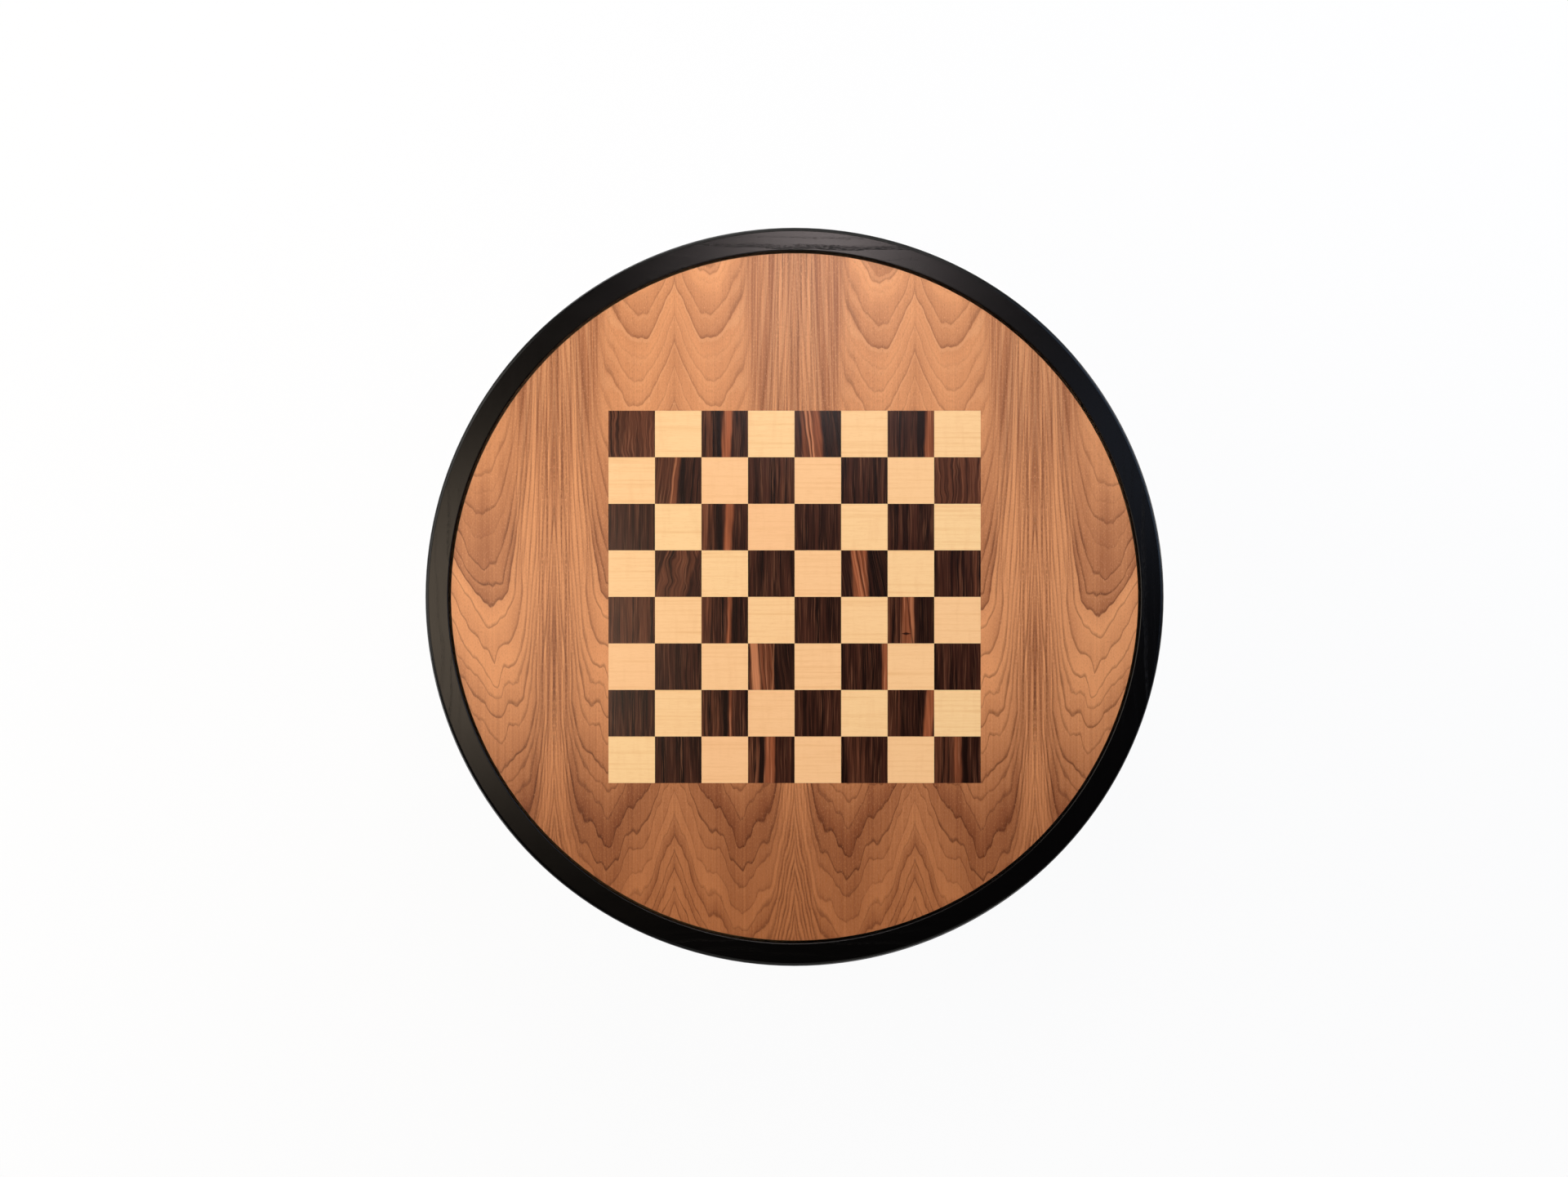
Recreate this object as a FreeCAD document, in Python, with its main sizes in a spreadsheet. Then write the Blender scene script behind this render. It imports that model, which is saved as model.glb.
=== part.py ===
import FreeCAD, Part
import math
import os
import re

import Sketcher

# Round chess table with a lift-out playing panel, in millimetres.
# The origin is on the floor under the middle of the table, with +Z up.
# The players sit at the left (-X) and at the right (+X); the back is +Y.

# Counts, and turns about the table's axis in degrees
SQUARES_PER_SIDE = 8
PAD_COUNT = 8
LEG_COUNT = 4
FULL_TURN = 360
HALF_TURN = 180
QUARTER_TURN = 90
EIGHTH_TURN = 45
APRON_SCREW_TURN = 22.5
SIDE_TURNS = {name: number * QUARTER_TURN for number, name in
              enumerate(("right", "back", "left", "front"))}
CORNER_TURNS = {name: number * QUARTER_TURN + EIGHTH_TURN for number, name in
                enumerate(("back_right", "back_left", "front_left", "front_right"))}
UP = FreeCAD.Vector(0, 0, 1)

# Driving sizes of the table
SIZES = {
    # the whole top
    "top_diameter": 900,
    "table_height": 740,
    # rim: a black wooden ring that stands a little above the panel
    "rim_width": 28.5,
    "rim_outer_arris": 5,
    "rim_inner_arris": 1.5,
    "rim_drop": 3,
    "lip_height": 3,
    # loose tongue across each rim joint
    "spline_length": 44,
    "spline_width": 16,
    "spline_thickness": 6,
    "spline_depth": 15,
    # lift-out panel
    "panel_gap": 3,
    "core_thickness": 18,
    "veneer_thickness": 1,
    "edge_band_thickness": 3,
    "square_size": 56.7,
    "board_margin": 66.2,
    # ring that carries the panel inside the rim
    "ring_thickness": 18,
    "ring_width": 78,
    "tongue_thickness": 8,
    "tongue_depth": 9,
    "pad_thickness": 2,
    "pad_diameter": 16,
    "pad_inset": 25,
    # curved apron between the legs
    "apron_height": 65,
    "apron_thickness": 22,
    "apron_setback": 34,
    "apron_arris": 2,
    "tenon_thickness": 9,
    "tenon_length": 18,
    "tenon_shoulder": 10,
    # turned legs with square tops
    "leg_block": 52,
    "leg_block_height": 95,
    "leg_shoulder_diameter": 46,
    "leg_foot_diameter": 28,
    "leg_swell_radius": 9000,
    "pommel_height": 16,
    "foot_chamfer": 2,
    # cross rails under the top
    "rail_width": 24,
    "rail_height": 40,
    "rail_tenon_thickness": 10,
    "rail_tenon_length": 12,
    "rail_tenon_shoulder": 6,
    # countersunk screws down through the ring
    "screw_length": 45,
    "screw_diameter": 4.5,
    "screw_head_diameter": 9,
    "screw_tip_length": 6,
    # glides under the legs, each held by a nail
    "glide_diameter": 26,
    "glide_height": 6,
    "glide_chamfer": 2,
    "nail_diameter": 3,
    "nail_length": 18,
    "nail_head_diameter": 9,
    "nail_head_height": 1.5,
    "nail_head_recess": 1.5,
    # room left in joints
    "glue_line": 0.1,
    "hole_clearance": 0.1,
    "overrun": 5,
}

# Sizes that follow from the driving sizes
DERIVED = {
    "top_radius": "top_diameter / 2",
    "rim_inner_radius": "top_radius - rim_width",
    "rim_middle_radius": "top_radius - rim_width / 2",
    "spline_top_z": "table_height - spline_depth",
    "panel_radius": "rim_inner_radius - panel_gap",
    "panel_top_z": "table_height - lip_height",
    "face_z": "panel_top_z - veneer_thickness",
    "core_z": "face_z - core_thickness",
    "backing_z": "core_z - veneer_thickness",
    "band_inner_radius": "panel_radius - edge_band_thickness",
    "half_glue": "glue_line / 2",
    "board_half": f"square_size * {SQUARES_PER_SIDE} / 2",
    "leaf_width": "(board_half + board_margin) / 2",
    "ring_top_z": "backing_z - pad_thickness",
    "ring_z": "ring_top_z - ring_thickness",
    "ring_outer_radius": "rim_inner_radius - glue_line",
    "ring_inner_radius": "rim_inner_radius - ring_width",
    "ring_middle_z": "ring_z + ring_thickness / 2",
    "tongue_radius": "rim_inner_radius + tongue_depth",
    "groove_half": "tongue_thickness / 2 + glue_line",
    "pad_circle": "panel_radius - pad_inset",
    "rim_z": "ring_z - rim_drop",
    "apron_outer_radius": "rim_inner_radius - apron_setback",
    "apron_inner_radius": "apron_outer_radius - apron_thickness",
    "apron_z": "ring_z - apron_height",
    "leg_circle": "apron_outer_radius - apron_thickness / 2",
    "block_half": "leg_block / 2",
    "block_z": "ring_z - leg_block_height",
    "tenon_z": "apron_z + tenon_shoulder",
    "tenon_height": "apron_height - tenon_shoulder * 2",
    "tenon_half": "tenon_thickness / 2",
    "rail_z": "ring_z - rail_height",
    "rail_middle_z": "ring_z - rail_height / 2",
    "rail_half": "rail_width / 2",
    "rail_shoulder": "sqrt(apron_inner_radius ^ 2 - rail_half ^ 2) - glue_line",
    "rail_tenon_z": "rail_z + rail_tenon_shoulder",
    "rail_tenon_height": "rail_height - rail_tenon_shoulder * 2",
    "rail_tenon_half": "rail_tenon_thickness / 2",
    "rail_tenon_end": "apron_inner_radius + rail_tenon_length",
    "screw_radius": "screw_diameter / 2",
    "screw_head_radius": "screw_head_diameter / 2",
    "screw_hole_radius": "screw_radius + hole_clearance",
    "screw_tip_z": "ring_top_z - screw_length",
    "glide_radius": "glide_diameter / 2",
    "nail_radius": "nail_diameter / 2",
    "nail_head_radius": "nail_head_diameter / 2",
    "nail_head_z": "nail_head_recess + nail_head_height",
}

doc = FreeCAD.newDocument("chess_table")
sheet = doc.addObject("Spreadsheet::Sheet", "sizes")
for row, (name, size) in enumerate(SIZES.items(), start=1):
    sheet.set(f"A{row}", str(size))
    sheet.setAlias(f"A{row}", name)
doc.recompute()

bodies = []


def bound(formula):
    """The formula with every name in it turned into cells of the sheet."""

    def cell(match):
        name = match.group(0)
        if name in DERIVED:
            return "(" + bound(DERIVED[name]) + ")"
        return "sizes." + name if name in SIZES else name

    return re.sub("[a-z_]+", cell, formula)


def value(formula):
    """What a formula is worth with the sheet's present sizes."""
    return float(sheet.evalExpression(bound(formula)))


def new_body(label):
    """An empty body, listed among the pieces of the table."""
    body = doc.addObject("PartDesign::Body", label)
    body.Label = label
    bodies.append(body)
    return body


def place(body, turn, reach="0"):
    """Turn a body about the table's axis, and move it out by reach."""
    body.Placement = FreeCAD.Placement(FreeCAD.Vector(), FreeCAD.Rotation(UP, turn))
    body.setExpression("Placement.Base.x", bound(f"({reach}) * cos({turn})"))
    body.setExpression("Placement.Base.y", bound(f"({reach}) * sin({turn})"))


def origin_feature(body, role):
    """One of the body's own origin planes or axes."""
    return next(item for item in body.Origin.OriginFeatures if item.Role == role)


def new_sketch(body, plane, turn=0, **offsets):
    """A sketch on an origin plane, turned in its plane and moved by formulas for x, y or z."""
    sketch = body.newObject("Sketcher::SketchObject", body.Label + "_sketch")
    sketch.AttachmentSupport = [(origin_feature(body, plane), "")]
    sketch.MapMode = "FlatFace"
    sketch.AttachmentOffset = FreeCAD.Placement(FreeCAD.Vector(), FreeCAD.Rotation(UP, turn))
    for axis, formula in offsets.items():
        sketch.setExpression(f"AttachmentOffset.Base.{axis}", bound(formula))
    return sketch


def constrain(sketch, formula, kind, *references):
    """Add a dimension to a sketch and bind it to a formula."""
    number = sketch.addConstraint(Sketcher.Constraint(kind, *references, value(formula)))
    sketch.setExpression(f"Constraints[{number}]", bound(formula))


def arc_edge(start, end, radius):
    """A short arc that bulges to the right of the way from start to end."""
    chord = end - start
    half_chord = chord.Length / 2
    outward = FreeCAD.Vector(chord.y, -chord.x, 0).normalize()
    rise = radius - math.sqrt(radius ** 2 - half_chord ** 2)
    return Part.Arc(start, (start + end) / 2 + outward * rise, end)


def outline(sketch, corners):
    """Draw a closed outline, anticlockwise, from corners given as formulas.

    A corner is (x, y), or (x, y, radius) where the edge that starts there is an arc.
    """
    first = sketch.GeometryCount
    points = [FreeCAD.Vector(value(corner[0]), value(corner[1]), 0) for corner in corners]
    for corner, start, end in zip(corners, points, points[1:] + points[:1]):
        if len(corner) > 2:
            sketch.addGeometry(arc_edge(start, end, value(corner[2])))
        else:
            sketch.addGeometry(Part.LineSegment(start, end))
    for index, corner in enumerate(corners):
        edge = first + index
        next_edge = first + (index + 1) % len(corners)
        sketch.addConstraint(Sketcher.Constraint("Coincident", edge, 2, next_edge, 1))
        constrain(sketch, corner[0], "DistanceX", -1, 1, edge, 1)
        constrain(sketch, corner[1], "DistanceY", -1, 1, edge, 1)
        if len(corner) > 2:
            constrain(sketch, corner[2], "Radius", edge)


def rectangle(sketch, left, right, bottom, top):
    """Draw a rectangle between two pairs of formulas."""
    outline(sketch, [(left, bottom), (right, bottom), (right, top), (left, top)])


def circle(sketch, x, y, radius):
    """Draw a circle from formulas for its centre and radius."""
    edge = sketch.addGeometry(Part.Circle(FreeCAD.Vector(value(x), value(y), 0), UP, value(radius)))
    constrain(sketch, x, "DistanceX", -1, 1, edge, 3)
    constrain(sketch, y, "DistanceY", -1, 1, edge, 3)
    constrain(sketch, radius, "Radius", edge)


def straight(body, kind, sketch, length):
    """A Pad upwards from a sketch, or a Pocket downwards from it."""
    feature = body.newObject("PartDesign::" + kind, body.Label + "_" + kind.lower())
    feature.Profile = sketch
    feature.setExpression("Length", bound(length))
    return feature


def turned(body, kind, sketch, angle=FULL_TURN, own_axis=False):
    """A Revolution or Groove about the body's Z axis, or about the sketch's upright axis."""
    feature = body.newObject("PartDesign::" + kind, body.Label + "_" + kind.lower())
    feature.Profile = sketch
    feature.ReferenceAxis = (sketch, ["V_Axis"]) if own_axis else (origin_feature(body, "Z_Axis"), [""])
    feature.Angle = angle
    feature.Midplane = True
    return feature


def copies_round(body, feature, count):
    """Repeat a feature evenly round the body's Z axis."""
    pattern = body.newObject("PartDesign::PolarPattern", body.Label + "_round")
    pattern.Originals = [feature]
    pattern.Axis = (origin_feature(body, "Z_Axis"), [""])
    pattern.Angle = FULL_TURN
    pattern.Occurrences = count
    body.Tip = pattern


# Rim

def rim_segment(label, turn):
    """A quarter of the rim: eased edges, a groove for the ring, and a slot at each end."""
    body = new_body(label)
    section = new_sketch(body, "XZ_Plane")
    outline(section, [
        ("rim_inner_radius", "rim_z"),
        ("top_radius - rim_inner_arris", "rim_z", "rim_inner_arris"),
        ("top_radius", "rim_z + rim_inner_arris"),
        ("top_radius", "table_height - rim_outer_arris", "rim_outer_arris"),
        ("top_radius - rim_outer_arris", "table_height"),
        ("rim_inner_radius + rim_inner_arris", "table_height", "rim_inner_arris"),
        ("rim_inner_radius", "table_height - rim_inner_arris"),
        ("rim_inner_radius", "ring_middle_z + groove_half"),
        ("tongue_radius + glue_line", "ring_middle_z + groove_half"),
        ("tongue_radius + glue_line", "ring_middle_z - groove_half"),
        ("rim_inner_radius", "ring_middle_z - groove_half"),
    ])
    turned(body, "Revolution", section, QUARTER_TURN)
    for end in (1, -1):
        slot = new_sketch(body, "XY_Plane", turn=end * EIGHTH_TURN, z="spline_top_z + glue_line")
        inner_end = f"-{end} * (spline_length / 2 + glue_line)"
        outer_end = f"{end} * overrun"
        rectangle(slot, "rim_middle_radius - spline_width / 2 - glue_line",
                  "rim_middle_radius + spline_width / 2 + glue_line",
                  *((inner_end, outer_end) if end > 0 else (outer_end, inner_end)))
        straight(body, "Pocket", slot, "spline_thickness + glue_line * 2")
    place(body, turn)


def rim_splines():
    """The loose tongues across the four rim joints."""
    body = new_body("rim_splines")
    plan = new_sketch(body, "XY_Plane", z="spline_top_z - spline_thickness")
    rectangle(plan, "rim_middle_radius - spline_width / 2", "rim_middle_radius + spline_width / 2",
              "-spline_length / 2", "spline_length / 2")
    copies_round(body, straight(body, "Pad", plan, "spline_thickness"), LEG_COUNT)
    place(body, EIGHTH_TURN)


# Support ring

def ring_segment(label, turn):
    """A quarter of the plywood ring, tongued into the rim, with countersunk holes."""
    body = new_body(label)
    section = new_sketch(body, "XZ_Plane")
    outline(section, [
        ("ring_inner_radius", "ring_z"),
        ("ring_outer_radius", "ring_z"),
        ("ring_outer_radius", "ring_middle_z - tongue_thickness / 2"),
        ("tongue_radius", "ring_middle_z - tongue_thickness / 2"),
        ("tongue_radius", "ring_middle_z + tongue_thickness / 2"),
        ("ring_outer_radius", "ring_middle_z + tongue_thickness / 2"),
        ("ring_outer_radius", "ring_top_z"),
        ("ring_inner_radius", "ring_top_z"),
    ])
    turned(body, "Revolution", section, QUARTER_TURN)
    holes = new_sketch(body, "XY_Plane", z="ring_top_z")
    for screw_turn in (-APRON_SCREW_TURN, 0, APRON_SCREW_TURN):
        circle(holes, f"leg_circle * cos({screw_turn})", f"leg_circle * sin({screw_turn})",
               "screw_hole_radius")
    doc.recompute()
    hole = body.newObject("PartDesign::Hole", label + "_hole")
    hole.Profile = holes
    hole.DepthType = "ThroughAll"
    hole.HoleCutType = "Countersink"
    hole.HoleCutCustomValues = True
    hole.setExpression("Diameter", bound("screw_hole_radius * 2"))
    hole.setExpression("HoleCutDiameter", bound("screw_head_diameter + hole_clearance * 2"))
    hole.HoleCutCountersinkAngle = QUARTER_TURN
    place(body, turn)


def rest_pads():
    """Felt discs on the ring, on which the panel lies."""
    body = new_body("rest_pads")
    section = new_sketch(body, "XZ_Plane", x="pad_circle")
    rectangle(section, "0", "pad_diameter / 2", "ring_top_z", "backing_z")
    disc = turned(body, "Revolution", section, own_axis=True)
    copies_round(body, disc, PAD_COUNT)
    place(body, 0)


def screws(label, first_turn, count):
    """Countersunk screws, their heads level with the top of the ring."""
    body = new_body(label)
    section = new_sketch(body, "XZ_Plane", x="leg_circle")
    outline(section, [
        ("0", "screw_tip_z"),
        ("screw_radius", "screw_tip_z + screw_tip_length"),
        ("screw_radius", "ring_top_z - screw_head_radius + screw_radius"),
        ("screw_head_radius", "ring_top_z"),
        ("0", "ring_top_z"),
    ])
    copies_round(body, turned(body, "Revolution", section, own_axis=True), count)
    place(body, first_turn)


# Base

def apron_segment(label, turn):
    """A curved apron piece with a tenon at each end and a mortise for a cross rail."""
    body = new_body(label)
    section = new_sketch(body, "XZ_Plane")
    outline(section, [
        ("apron_inner_radius + apron_arris", "apron_z"),
        ("apron_outer_radius - apron_arris", "apron_z", "apron_arris"),
        ("apron_outer_radius", "apron_z + apron_arris"),
        ("apron_outer_radius", "ring_z"),
        ("apron_inner_radius", "ring_z"),
        ("apron_inner_radius", "apron_z + apron_arris", "apron_arris"),
    ])
    turned(body, "Revolution", section, QUARTER_TURN)
    for end in (1, -1):
        leg_room = new_sketch(body, "XY_Plane", turn=end * EIGHTH_TURN, z="ring_z + overrun")
        rectangle(leg_room, "leg_circle - block_half", "leg_circle + block_half",
                  "-block_half - glue_line", "block_half + glue_line")
        straight(body, "Pocket", leg_room, "apron_height + overrun * 2")
    for end in (1, -1):
        tenon = new_sketch(body, "XY_Plane", turn=end * EIGHTH_TURN, z="tenon_z")
        root = f"-{end} * (block_half + tenon_thickness)"
        tip = f"-{end} * (block_half - tenon_length)"
        rectangle(tenon, "leg_circle - tenon_half", "leg_circle + tenon_half",
                  *((root, tip) if end > 0 else (tip, root)))
        straight(body, "Pad", tenon, "tenon_height")
    mortise = new_sketch(body, "XY_Plane", z="rail_tenon_z + rail_tenon_height + glue_line")
    rectangle(mortise, "apron_inner_radius - overrun", "rail_tenon_end + glue_line",
              "-rail_tenon_half - glue_line", "rail_tenon_half + glue_line")
    straight(body, "Pocket", mortise, "rail_tenon_height + glue_line * 2")
    holes = new_sketch(body, "XY_Plane", z="ring_z")
    for screw_turn in (-APRON_SCREW_TURN, APRON_SCREW_TURN):
        circle(holes, f"leg_circle * cos({screw_turn})", f"leg_circle * sin({screw_turn})",
               "screw_hole_radius")
    straight(body, "Pocket", holes, "ring_z - screw_tip_z + hole_clearance")
    place(body, turn)


def leg(label, turn):
    """A leg: square top with two mortises, turned and tapered below, with holes at both ends."""
    body = new_body(label)
    block = new_sketch(body, "XY_Plane", z="block_z")
    rectangle(block, "-block_half", "block_half", "-block_half", "block_half")
    straight(body, "Pad", block, "leg_block_height")
    shaft = new_sketch(body, "XZ_Plane")
    outline(shaft, [
        ("0", "glide_height"),
        ("leg_foot_diameter / 2 - foot_chamfer", "glide_height"),
        ("leg_foot_diameter / 2", "glide_height + foot_chamfer", "leg_swell_radius"),
        ("leg_shoulder_diameter / 2", "block_z"),
        ("leg_shoulder_diameter / 2", "block_z + pommel_height"),
        ("0", "block_z + pommel_height"),
    ])
    turned(body, "Revolution", shaft)
    pommel = new_sketch(body, "XZ_Plane")
    outline(pommel, [
        ("leg_shoulder_diameter / 2", "block_z"),
        ("leg_block + overrun", "block_z - overrun"),
        ("leg_block + overrun", "block_z + pommel_height"),
        ("block_half * sqrt(2)", "block_z + pommel_height"),
    ])
    turned(body, "Groove", pommel)
    mortises = new_sketch(body, "XY_Plane", z="tenon_z + tenon_height + glue_line")
    depth = "block_half - tenon_length - glue_line"
    left = "-tenon_half - glue_line"
    right = "tenon_half + glue_line"
    rectangle(mortises, left, right, depth, "block_half + overrun")
    rectangle(mortises, left, right, "-block_half - overrun", f"-({depth})")
    straight(body, "Pocket", mortises, "tenon_height + glue_line * 2")
    screw_hole = new_sketch(body, "XZ_Plane")
    rectangle(screw_hole, "0", "screw_hole_radius", "screw_tip_z - hole_clearance", "ring_z + overrun")
    turned(body, "Groove", screw_hole)
    nail_hole = new_sketch(body, "XZ_Plane")
    rectangle(nail_hole, "0", "nail_radius + hole_clearance", "0",
              "nail_head_z + nail_length + hole_clearance")
    turned(body, "Groove", nail_hole)
    place(body, turn, "leg_circle")


def cross_rail(label, turn, notch_top):
    """A rail across the table, tenoned at both ends and halved in the middle."""
    body = new_body(label)
    plan = new_sketch(body, "XY_Plane", z="rail_z")
    rectangle(plan, "-rail_shoulder", "rail_shoulder", "-rail_half", "rail_half")
    straight(body, "Pad", plan, "rail_height")
    tenons = new_sketch(body, "XY_Plane", z="rail_tenon_z")
    rectangle(tenons, "-rail_tenon_end", "rail_tenon_end", "-rail_tenon_half", "rail_tenon_half")
    straight(body, "Pad", tenons, "rail_tenon_height")
    notch = new_sketch(body, "XY_Plane", z=notch_top)
    rectangle(notch, "-rail_half - glue_line", "rail_half + glue_line",
              "-rail_half - overrun", "rail_half + overrun")
    straight(body, "Pocket", notch, "rail_height / 2")
    place(body, turn)


def glide(label, turn):
    """A nylon glide under a leg, hollowed below for the head of its nail."""
    body = new_body(label)
    section = new_sketch(body, "XZ_Plane")
    outline(section, [
        ("nail_head_radius + hole_clearance", "0"),
        ("glide_radius - glide_chamfer", "0"),
        ("glide_radius", "glide_chamfer"),
        ("glide_radius", "glide_height"),
        ("nail_radius + hole_clearance", "glide_height"),
        ("nail_radius + hole_clearance", "nail_head_z"),
        ("nail_head_radius + hole_clearance", "nail_head_z"),
    ])
    turned(body, "Revolution", section)
    place(body, turn, "leg_circle")


def glide_nails():
    """The nails that hold the glides to the legs."""
    body = new_body("glide_nails")
    section = new_sketch(body, "XZ_Plane", x="leg_circle")
    outline(section, [
        ("0", "nail_head_recess"),
        ("nail_head_radius", "nail_head_recess"),
        ("nail_head_radius", "nail_head_z"),
        ("nail_radius", "nail_head_z"),
        ("nail_radius", "nail_head_z + nail_length - nail_diameter"),
        ("0", "nail_head_z + nail_length"),
    ])
    copies_round(body, turned(body, "Revolution", section, own_axis=True), LEG_COUNT)
    place(body, EIGHTH_TURN)


# Lift-out panel

def panel_core():
    """The round board inside the panel."""
    body = new_body("panel_core")
    section = new_sketch(body, "XZ_Plane")
    rectangle(section, "0", "band_inner_radius - glue_line", "core_z", "face_z")
    turned(body, "Revolution", section)
    place(body, 0)


def panel_edge_band():
    """The walnut band bent round the edge of the core."""
    body = new_body("panel_edge_band")
    section = new_sketch(body, "XZ_Plane")
    rectangle(section, "band_inner_radius", "panel_radius", "core_z", "face_z")
    turned(body, "Revolution", section)
    place(body, 0)


def trim_round(body, bottom, top):
    """Cut a veneer piece off at the panel's edge."""
    section = new_sketch(body, "XZ_Plane")
    rectangle(section, "panel_radius", "panel_radius * 2", f"{bottom} - overrun", f"{top} + overrun")
    turned(body, "Groove", section)


def veneer_leaf(label, turn, corners):
    """A piece of a walnut leaf, cut to an outline and to the panel's edge."""
    body = new_body(label)
    plan = new_sketch(body, "XY_Plane", z="face_z")
    outline(plan, corners)
    straight(body, "Pad", plan, "veneer_thickness")
    trim_round(body, "face_z", "panel_top_z")
    place(body, turn)


def face_leaves():
    """The six book-matched leaves, with the board cut out of the middle four."""
    reach = "panel_radius + overrun"
    edge = "board_half + half_glue"
    seam_near = "half_glue"
    seam_middle = ("leaf_width - half_glue", "leaf_width + half_glue")
    seam_far = ("leaf_width * 2 - half_glue", "leaf_width * 2 + half_glue")
    back = [(seam_near, edge), (seam_middle[0], edge), (seam_middle[0], reach), (seam_near, reach)]
    front = [(seam_near, f"-({reach})"), (seam_middle[0], f"-({reach})"),
             (seam_middle[0], f"-({edge})"), (seam_near, f"-({edge})")]
    notched = [(seam_middle[1], f"-({reach})"), (seam_far[0], f"-({reach})"), (seam_far[0], reach),
               (seam_middle[1], reach), (seam_middle[1], edge), (edge, edge),
               (edge, f"-({edge})"), (seam_middle[1], f"-({edge})")]
    outer = [(seam_far[1], f"-({reach})"), (reach, f"-({reach})"), (reach, reach), (seam_far[1], reach)]
    veneer_leaf("veneer_leaf_1", HALF_TURN, outer)
    veneer_leaf("veneer_leaf_2", HALF_TURN, notched)
    veneer_leaf("veneer_leaf_3_back", HALF_TURN, front)
    veneer_leaf("veneer_leaf_3_front", HALF_TURN, back)
    veneer_leaf("veneer_leaf_4_back", 0, back)
    veneer_leaf("veneer_leaf_4_front", 0, front)
    veneer_leaf("veneer_leaf_5", 0, notched)
    veneer_leaf("veneer_leaf_6", 0, outer)


def backing_veneer():
    """Six plain leaves on the underside, which keep the panel flat."""
    body = new_body("backing_veneer")
    plan = new_sketch(body, "XY_Plane", z="backing_z")
    reach = "panel_radius + overrun"
    seams = [f"-({reach})", "-leaf_width * 2", "-leaf_width", "0", "leaf_width", "leaf_width * 2", reach]
    for left, right in zip(seams, seams[1:]):
        rectangle(plan, f"{left} + half_glue", f"{right} - half_glue", f"-({reach})", reach)
    straight(body, "Pad", plan, "veneer_thickness")
    trim_round(body, "backing_z", "core_z")
    place(body, 0)


def squares(label, dark):
    """Half of the board's squares: two of each block of four, repeated over the board."""
    body = new_body(label)
    plan = new_sketch(body, "XY_Plane", z="face_z")
    for column in (0, 1):
        row = 1 - column if dark else column
        left = f"square_size * {column} - board_half"
        bottom = f"square_size * {row} - board_half"
        rectangle(plan, f"{left} + half_glue", f"{left} + square_size - half_glue",
                  f"{bottom} + half_glue", f"{bottom} + square_size - half_glue")
    pair = straight(body, "Pad", plan, "veneer_thickness")
    grid = body.newObject("PartDesign::MultiTransform", label + "_grid")
    grid.Originals = [pair]
    rows = []
    for axis in ("X_Axis", "Y_Axis"):
        pattern = body.newObject("PartDesign::LinearPattern", label + "_row")
        pattern.Direction = (origin_feature(body, axis), [""])
        pattern.Occurrences = SQUARES_PER_SIDE // 2
        pattern.setExpression("Length", bound(f"square_size * {SQUARES_PER_SIDE - 2}"))
        rows.append(pattern)
    grid.Transformations = rows
    body.Tip = grid
    place(body, 0)


def build():
    """Make every piece of the table."""
    for side, turn in SIDE_TURNS.items():
        rim_segment("rim_segment_" + side, turn)
        apron_segment("apron_" + side, turn)
    for corner, turn in CORNER_TURNS.items():
        ring_segment("support_ring_" + corner, turn)
        leg("leg_" + corner, turn)
        glide("glide_" + corner, turn)
    rim_splines()
    rest_pads()
    screws("leg_screws", EIGHTH_TURN, LEG_COUNT)
    screws("apron_screws", APRON_SCREW_TURN, LEG_COUNT * 2)
    cross_rail("cross_rail_x", 0, "ring_z")
    cross_rail("cross_rail_y", QUARTER_TURN, "rail_middle_z")
    glide_nails()
    panel_core()
    panel_edge_band()
    face_leaves()
    squares("dark_squares", True)
    squares("light_squares", False)
    backing_veneer()


def check():
    """Stop on any failed feature, on any cut that took nothing away, and on any bad shape."""
    for item in doc.Objects:
        if "Invalid" in item.State or "Error" in item.State:
            raise RuntimeError(f"{item.Label}: {item.State}")
        if item.TypeId in ("PartDesign::Pocket", "PartDesign::Groove", "PartDesign::Hole"):
            if item.Shape.Volume >= item.BaseFeature.Shape.Volume:
                raise RuntimeError(f"{item.Label} cuts nothing")
    for body in bodies:
        if body.Shape.isNull() or not body.Shape.isValid():
            raise RuntimeError(f"{body.Label} has no valid shape")


def write():
    """Write each piece to its own file."""
    os.makedirs("parts", exist_ok=True)
    for body in bodies:
        body.Shape.exportStep(f"parts/{body.Label}.step")
        print(body.Label, len(body.Shape.Solids), "solids", round(body.Shape.Volume), "mm3")


build()
doc.recompute()
check()
write()
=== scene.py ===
import bpy
from mathutils import Color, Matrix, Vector

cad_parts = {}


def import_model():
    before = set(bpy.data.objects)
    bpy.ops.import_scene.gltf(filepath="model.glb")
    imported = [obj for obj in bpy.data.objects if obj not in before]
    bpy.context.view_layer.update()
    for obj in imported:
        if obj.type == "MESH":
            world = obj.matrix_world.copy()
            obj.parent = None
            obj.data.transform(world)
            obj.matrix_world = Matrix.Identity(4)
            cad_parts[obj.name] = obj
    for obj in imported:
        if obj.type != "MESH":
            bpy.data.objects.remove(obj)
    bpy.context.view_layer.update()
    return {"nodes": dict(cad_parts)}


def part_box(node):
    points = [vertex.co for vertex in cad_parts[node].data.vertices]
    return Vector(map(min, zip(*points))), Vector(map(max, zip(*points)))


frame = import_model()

# Looks of a round chess table: finishes, light and camera. The scene is in metres.
# Figures in the wood are written in millimetres, measured from the table's origin.

PER_METRE = 1000
SCREEN_WHITE = 255
BOARD_SQUARES = 8


# Places that the finishes follow, in millimetres

def corner(node, index):
    """The lowest (0) or highest (1) corner of a CAD node."""
    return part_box(node)[index] * PER_METRE


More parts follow.
